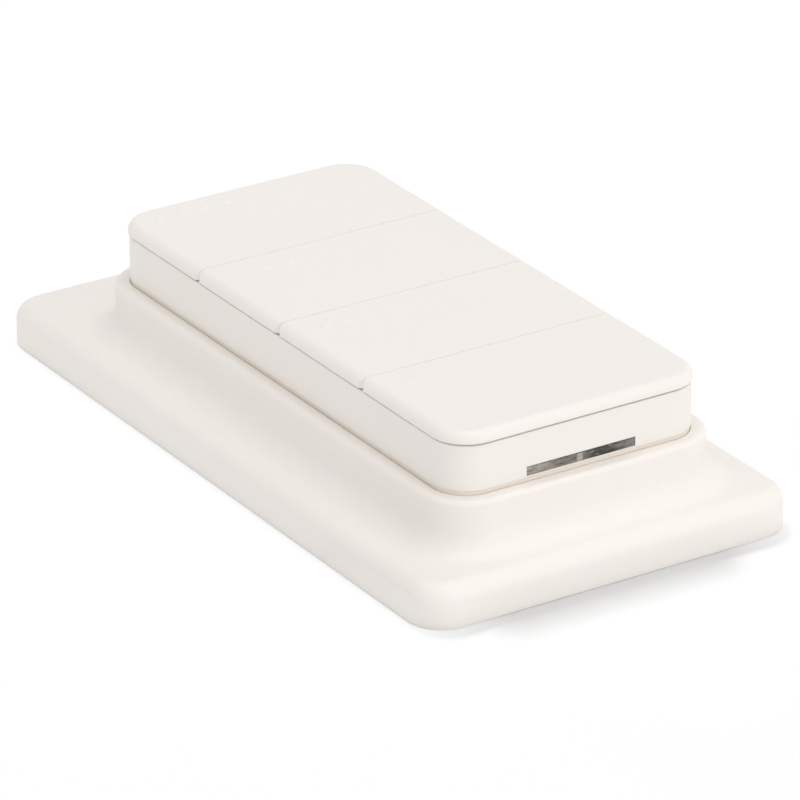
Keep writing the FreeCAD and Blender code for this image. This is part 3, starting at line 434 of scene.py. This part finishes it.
def light_studio():
    """Three lamps in even air, which is plain white where it is seen or mirrored."""
    area_lamp(*KEY_LAMP)
    glare_free = area_lamp(*END_LAMP)
    glare_free.visible_glossy = False
    area_lamp(*SIDE_LAMP)
    world = bpy.data.worlds.new("studio_air")
    world.use_nodes = True
    tree = world.node_tree
    backdrop = tree.nodes["Background"]
    backdrop.inputs["Color"].default_value = WHITE
    light = tree.nodes.new("ShaderNodeLightPath")
    seen = light.outputs["Is Camera Ray"]
    for name in ("Is Glossy Ray", "Is Transmission Ray"):
        either = tree.nodes.new("ShaderNodeMath")
        either.operation = "MAXIMUM"
        tree.links.new(seen, either.inputs[0])
        tree.links.new(light.outputs[name], either.inputs[1])
        seen = either.outputs[0]
    level = tree.nodes.new("ShaderNodeMapRange")
    level.inputs["To Min"].default_value = AIR_LIGHT
    level.inputs["To Max"].default_value = AIR_SEEN
    tree.links.new(seen, level.inputs["Value"])
    tree.links.new(level.outputs[0], backdrop.inputs["Strength"])
    bpy.context.scene.world = world


def lay_floor():
    """The paper, and a lamp from behind that lights it alone for the soft shadow in front."""
    deselect()
    bpy.ops.mesh.primitive_plane_add(size=FLOOR_SIZE, location=(0, 0, CAD_BOX[0][2] - FLOOR_DROP))
    floor = bpy.context.object
    floor.name = "studio_floor"
    bpy.ops.object.transform_apply(location=True, rotation=True, scale=True)
    floor.data.materials.append(paper_floor())
    lamp = area_lamp(*FLOOR_LAMP)
    papers = bpy.data.collections.new("papers")
    papers.objects.link(floor)
    lamp.light_linking.receiver_collection = papers


# Sizes of the collar's rim, the buttons and the remote

CRADLE_Y = -4.0 * MM

RIM_FOOT = 12.6 * MM
RIM_TOP = 13.8 * MM
RIM_WIDTH = 45.3 * MM
RIM_RUN = 93.2 * MM
RIM_CORNER = 7.35 * MM
RIM_STEPS = 24
RIM_WALL = 2.17 * MM
RIM_INNER_SHARE = 0.6
RIM_SEAM = 0.1 * MM
LIP_OUTER = (0.75 * MM, 8)
LIP_INNER = (0.18 * MM, 4)

BUTTONS = (1, 2, 3, 4)
BUTTON_FOOT = 21.37 * MM
BUTTON_TOP = 23.0 * MM
BUTTON_WIDTH = 41.4 * MM
BUTTON_RUN = 89.3 * MM
BUTTON_CORNER = 5.4 * MM
BUTTON_STEPS = 20
BUTTON_ROUND = (1.35 * MM, 10)
BUTTON_BREAK = (0.12 * MM, 3)
SPLITS = (-44.65 * MM, -21.5 * MM, 0.0, 21.5 * MM, 44.65 * MM)
SPLIT_GAP = 0.08 * MM
NOTCH = 0.6 * MM
CLIP_LAP = 0.02 * MM
FIRST_DOT = -15.5 * MM
DOT_PITCH = 3.7 * MM
DOT_DROP = 4.1 * MM
DOT_RADIUS = 0.95 * MM
DOT_HEIGHT = 0.1 * MM
DOT_SINK = 0.1 * MM
DOT_ROOT = 0.02 * MM

HOUSING_FOOT = 14.3 * MM
HOUSING_TOP = 21.05 * MM
HOUSING_BREAK = (0.15 * MM, 3)
REMOTE_HALVES = (20.5 * MM, 44.45 * MM)
REMOTE_CORNER = 5.2 * MM
COVER_INSET = 0.2 * MM
COVER_LEAN = 0.12 * MM

# How near counts as the same, and which angles and faces are told apart

TOUCH = 0.01 * MM
LEVEL_TOUCH = 0.001 * MM
MERGE_TOUCH = 0.001 * MM
CUT_SNAP = 0.001 * MM
HOUSING_TOUCH = 0.02 * MM
COVER_TOUCH = 0.03 * MM
LEVEL_FACE = 0.9
FLAT_ANGLE = 0.2
BREAK_ANGLE = 35.0
BUTTON_SHADE_ANGLE = 32.0
SHELL_SHADE_ANGLE = 28.0


# Ways of working on a mesh

def deselect():
    if bpy.context.object and bpy.context.object.mode != "OBJECT":
        bpy.ops.object.mode_set(mode="OBJECT")
    bpy.ops.object.select_all(action="DESELECT")


def take(piece):
    """Make this the one selected and active piece."""
    deselect()
    piece.select_set(True)
    bpy.context.view_layer.objects.active = piece


def pick_all(piece):
    """In edit mode, with the whole mesh selected."""
    take(piece)
    bpy.ops.object.mode_set(mode="EDIT")
    bpy.ops.mesh.select_all(action="SELECT")


def pick_nothing(piece, kind):
    """Leave the piece active in object mode with nothing selected in its mesh."""
    take(piece)
    bpy.ops.object.mode_set(mode="EDIT")
    bpy.ops.mesh.select_mode(type=kind)
    bpy.ops.mesh.select_all(action="DESELECT")
    bpy.ops.object.mode_set(mode="OBJECT")


def pick_edges(piece, test):
    """In edit mode, with the edges selected whose two ends pass the test."""
    pick_nothing(piece, "EDGE")
    spots = piece.data.vertices
    for edge in piece.data.edges:
        edge.select = test(spots[edge.vertices[0]].co, spots[edge.vertices[1]].co)
    bpy.ops.object.mode_set(mode="EDIT")


def round_picked(width, segments):
    """Bevel the selected edges and leave edit mode."""
    bpy.ops.mesh.bevel(offset=width, segments=segments, affect="EDGES")
    bpy.ops.object.mode_set(mode="OBJECT")


def drop_faces(piece, test):
    """Delete the faces that pass the test."""
    pick_nothing(piece, "FACE")
    for face in piece.data.polygons:
        face.select = test(face)
    bpy.ops.object.mode_set(mode="EDIT")
    bpy.ops.mesh.delete(type="FACE")
    bpy.ops.object.mode_set(mode="OBJECT")


def cut_away(piece, at, facing):
    """Cut the piece by a plane, drop what lies on its facing side and close the cut."""
    pick_all(piece)
    bpy.ops.mesh.bisect(
        plane_co=at, plane_no=facing, use_fill=True, clear_outer=True, threshold=CUT_SNAP
    )
    bpy.ops.object.mode_set(mode="OBJECT")


def copy_piece(source, name):
    piece = bpy.data.objects.new(name, source.data.copy())
    bpy.context.scene.collection.objects.link(piece)
    return piece


def merged_copy(node, name):
    """The node's own form with its loose triangles joined and its flat faces made whole."""
    piece = copy_piece(NODES[node], name)
    pick_all(piece)
    bpy.ops.mesh.remove_doubles(threshold=MERGE_TOUCH)
    bpy.ops.mesh.dissolve_limited(angle_limit=math.radians(FLAT_ANGLE))
    bpy.ops.object.mode_set(mode="OBJECT")
    return piece


def join_to(piece, parts):
    """Make the parts one mesh with the piece."""
    take(piece)
    for part in parts:
        part.select_set(True)
    bpy.ops.object.join()


def soften(piece, width, segments):
    """A small bevel on the sharp edges that are left."""
    take(piece)
    edge = piece.modifiers.new("edge_break", "BEVEL")
    edge.width = width
    edge.segments = segments
    edge.limit_method = "ANGLE"
    edge.angle_limit = math.radians(BREAK_ANGLE)
    bpy.ops.object.modifier_apply(modifier=edge.name)


def shade_even(piece, angle):
    """Smooth shading up to this angle, with flat faces kept flat."""
    take(piece)
    bpy.ops.object.shade_smooth_by_angle(angle=math.radians(angle))
    even = piece.modifiers.new("even_faces", "WEIGHTED_NORMAL")
    even.keep_sharp = True
    bpy.ops.object.modifier_apply(modifier=even.name)


def hand_over(piece, finish, body, slot, *nodes):
    """Give a finished piece its material and its body, and hide the nodes it stands for; the slot
    is not used.
    """
    piece.data.materials.clear()
    piece.data.materials.append(finish)
    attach(piece, body)
    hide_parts(*nodes)


def rounded_slab(width, run, low, high, corner, segments):
    """A block on the cradle's middle line with round upright corners."""
    deselect()
    bpy.ops.mesh.primitive_cube_add(size=1.0, location=(0, CRADLE_Y, (low + high) / 2))
    slab = bpy.context.object
    slab.scale = (width, run, high - low)
    bpy.ops.object.transform_apply(location=True, rotation=True, scale=True)
    pick_edges(slab, lambda a, b: abs(a.z - b.z) > 0.5 * (high - low))
    round_picked(corner, segments)
    return slab


def off_centre(spot, halves, corner):
    """How far a spot lies from the spine of a rounded outline: the corner's radius on its edge."""
    across = max(abs(spot.x) - halves[0] + corner, 0.0)
    along = max(abs(spot.y - CRADLE_Y) - halves[1] + corner, 0.0)
    return math.hypot(across, along)


# The plate's collar

def in_rim(spot):
    """Whether a spot lies on the inner side of the collar's wall."""
    reach = RIM_CORNER - RIM_INNER_SHARE * RIM_WALL
    return off_centre(spot, (RIM_WIDTH / 2, RIM_RUN / 2), RIM_CORNER) < reach


def collar_rim():
    """The collar's top without its underside: a soft lip that closes in on the remote."""
    rim = rounded_slab(RIM_WIDTH, RIM_RUN, RIM_FOOT, RIM_TOP, RIM_CORNER, RIM_STEPS)
    drop_faces(rim, lambda face: abs(face.normal.z) > LEVEL_FACE)
    wall = rim.modifiers.new("wall", "SOLIDIFY")
    wall.thickness = RIM_WALL
    wall.offset = -1.0
    wall.use_even_offset = True
    bpy.ops.object.modifier_apply(modifier=wall.name)

    for inside, lip in ((False, LIP_OUTER), (True, LIP_INNER)):
        def top_edge(a, b):
            return min(a.z, b.z) > RIM_TOP - TOUCH and in_rim(a) == in_rim(b) == inside

        pick_edges(rim, top_edge)
        round_picked(*lip)
    drop_faces(rim, lambda face: face.normal.z < -LEVEL_FACE)
    return rim


def plate_shell(node):
    """The plate's own form up to the collar's rim, which is made anew and bridged on."""
    shell = merged_copy(node, f"{node}_shell")
    pick_all(shell)
    bpy.ops.mesh.bisect(plane_co=(0, 0, RIM_FOOT - RIM_SEAM), plane_no=(0, 0, 1), clear_outer=True)
    bpy.ops.object.mode_set(mode="OBJECT")
    join_to(shell, [collar_rim()])

    for inside in (False, True):
        def seam_edge(a, b):
            level = abs(a.z - b.z) < LEVEL_TOUCH
            near = RIM_FOOT - RIM_SEAM - TOUCH < a.z < RIM_FOOT + TOUCH
            return level and near and in_rim(a) == in_rim(b) == inside

        pick_edges(shell, seam_edge)
        bpy.ops.mesh.bridge_edge_loops()
        bpy.ops.object.mode_set(mode="OBJECT")
    pick_all(shell)
    bpy.ops.mesh.normals_make_consistent(inside=False)
    bpy.ops.object.mode_set(mode="OBJECT")
    return shell


# The buttons

def button_field():
    """All four button plates as one slab with round corners and a round top edge."""
    slab = rounded_slab(
        BUTTON_WIDTH, BUTTON_RUN, BUTTON_FOOT, BUTTON_TOP, BUTTON_CORNER, BUTTON_STEPS
    )
    pick_edges(slab, lambda a, b: min(a.z, b.z) > BUTTON_TOP - TOUCH)
    round_picked(*BUTTON_ROUND)
    return slab


def button_dot(x, y):
    """A low dome that stands on a button."""
    deselect()
    bpy.ops.mesh.primitive_uv_sphere_add(
        segments=32, ring_count=24, radius=DOT_RADIUS, location=(x, y, BUTTON_TOP - DOT_SINK)
    )
    dot = bpy.context.object
    dot.scale = (1.0, 1.0, (DOT_HEIGHT + DOT_SINK) / DOT_RADIUS)
    bpy.ops.object.transform_apply(location=True, rotation=True, scale=True)
    cut_away(dot, (x, y, BUTTON_TOP - DOT_ROOT), (0, 0, -1))
    return dot


def make_button(slab, number, finish):
    """One plate cut from the slab, its corners nipped at the splits, with its dots and clips."""
    plate = copy_piece(slab, f"button_plate_{number}")
    low, high = SPLITS[number - 1], SPLITS[number]
    nip = BUTTON_WIDTH / 2 - NOTCH / 2
    for end, way in ((low, -1), (high, 1)):
        if end in (SPLITS[0], SPLITS[-1]):
            continue
        face = CRADLE_Y + end - way * SPLIT_GAP / 2
        cut_away(plate, (0, face, 0), (0, way, 0))
        for hand in (-1, 1):
            cut_away(plate, (hand * nip, face - way * NOTCH / 2, 0), (hand, way, 0))
    soften(plate, *BUTTON_BREAK)
    clips = merged_copy(f"button_{number}", f"clips_{number}")
    cut_away(clips, (0, 0, BUTTON_FOOT + CLIP_LAP), (0, 0, 1))
    parts = [clips]
    for spot in range(number):
        parts.append(button_dot(FIRST_DOT + spot * DOT_PITCH, CRADLE_Y + high - DOT_DROP))
    join_to(plate, parts)
    shade_even(plate, BUTTON_SHADE_ANGLE)
    hand_over(plate, finish, f"button_{number}", "button_plastic", f"button_{number}")


def make_buttons(finish):
    """The four buttons; each has as many dots as its number."""
    slab = button_field()
    for number in BUTTONS:
        make_button(slab, number, finish)
    bpy.data.objects.remove(slab)


# The remote's housing and back cover

def housing_shell(node):
    """The housing with its two long outer edges broken."""
    shell = merged_copy(node, f"{node}_shell")

    def outer_edge(a, b):
        for spot in (a, b):
            off_wall = off_centre(spot, REMOTE_HALVES, REMOTE_CORNER) - REMOTE_CORNER
            if abs(off_wall) > HOUSING_TOUCH:
                return False
        off_end = min(abs(a.z - HOUSING_FOOT), abs(a.z - HOUSING_TOP))
        return abs(a.z - b.z) < TOUCH and off_end < TOUCH

    pick_edges(shell, outer_edge)
    round_picked(*HOUSING_BREAK)
    return shell


def cover_shell(node):
    """The back cover with its top edge brought out until it all but meets the housing's wall."""
    shell = merged_copy(node, f"{node}_shell")

    def top_edge(a, b):
        for spot in (a, b):
            reach = off_centre(spot, REMOTE_HALVES, REMOTE_CORNER)
            if reach < REMOTE_CORNER - COVER_INSET - COVER_TOUCH:
                return False
        return min(a.z, b.z) > HOUSING_FOOT - TOUCH

    pick_edges(shell, top_edge)
    spread = [1.0 + COVER_LEAN / half for half in REMOTE_HALVES]
    bpy.ops.transform.resize(
        value=(*spread, 1.0), center_override=(0.0, CRADLE_Y, HOUSING_FOOT)
    )
    bpy.ops.object.mode_set(mode="OBJECT")
    return shell


# Making

SPECIAL_SHELLS = {
    "wall_plate": plate_shell,
    "remote_housing": housing_shell,
    "back_cover": cover_shell,
}
RECORD = frame["record"]
SLOTS = {entry["node"]: entry["material_slot"] for entry in RECORD["subparts"]}
BODIES = {node: body for body, nodes in RECORD["behaviour"]["bodies"].items() for node in nodes}


def dress_nodes(finishes):
    """Every node's own finish, by the slot that the record gives it."""
    for node, slot in SLOTS.items():
        data = NODES[node].data
        data.materials.clear()
        data.materials.append(finishes[slot])


def make_shells(finishes):
    """A clean shell for every node but the buttons, which are made by themselves."""
    for node in NODES:
        if node.startswith("button_"):
            continue
        make_shell = SPECIAL_SHELLS.get(node)
        shell = make_shell(node) if make_shell else merged_copy(node, f"{node}_shell")
        shade_even(shell, SHELL_SHADE_ANGLE)
        hand_over(shell, finishes[SLOTS[node]], BODIES[node], SLOTS[node], node)


finishes = make_finishes()
set_camera()
light_studio()
lay_floor()
dress_nodes(finishes)
make_buttons(finishes["button_plastic"])
make_shells(finishes)

bpy.context.scene.view_settings.view_transform = "Standard"
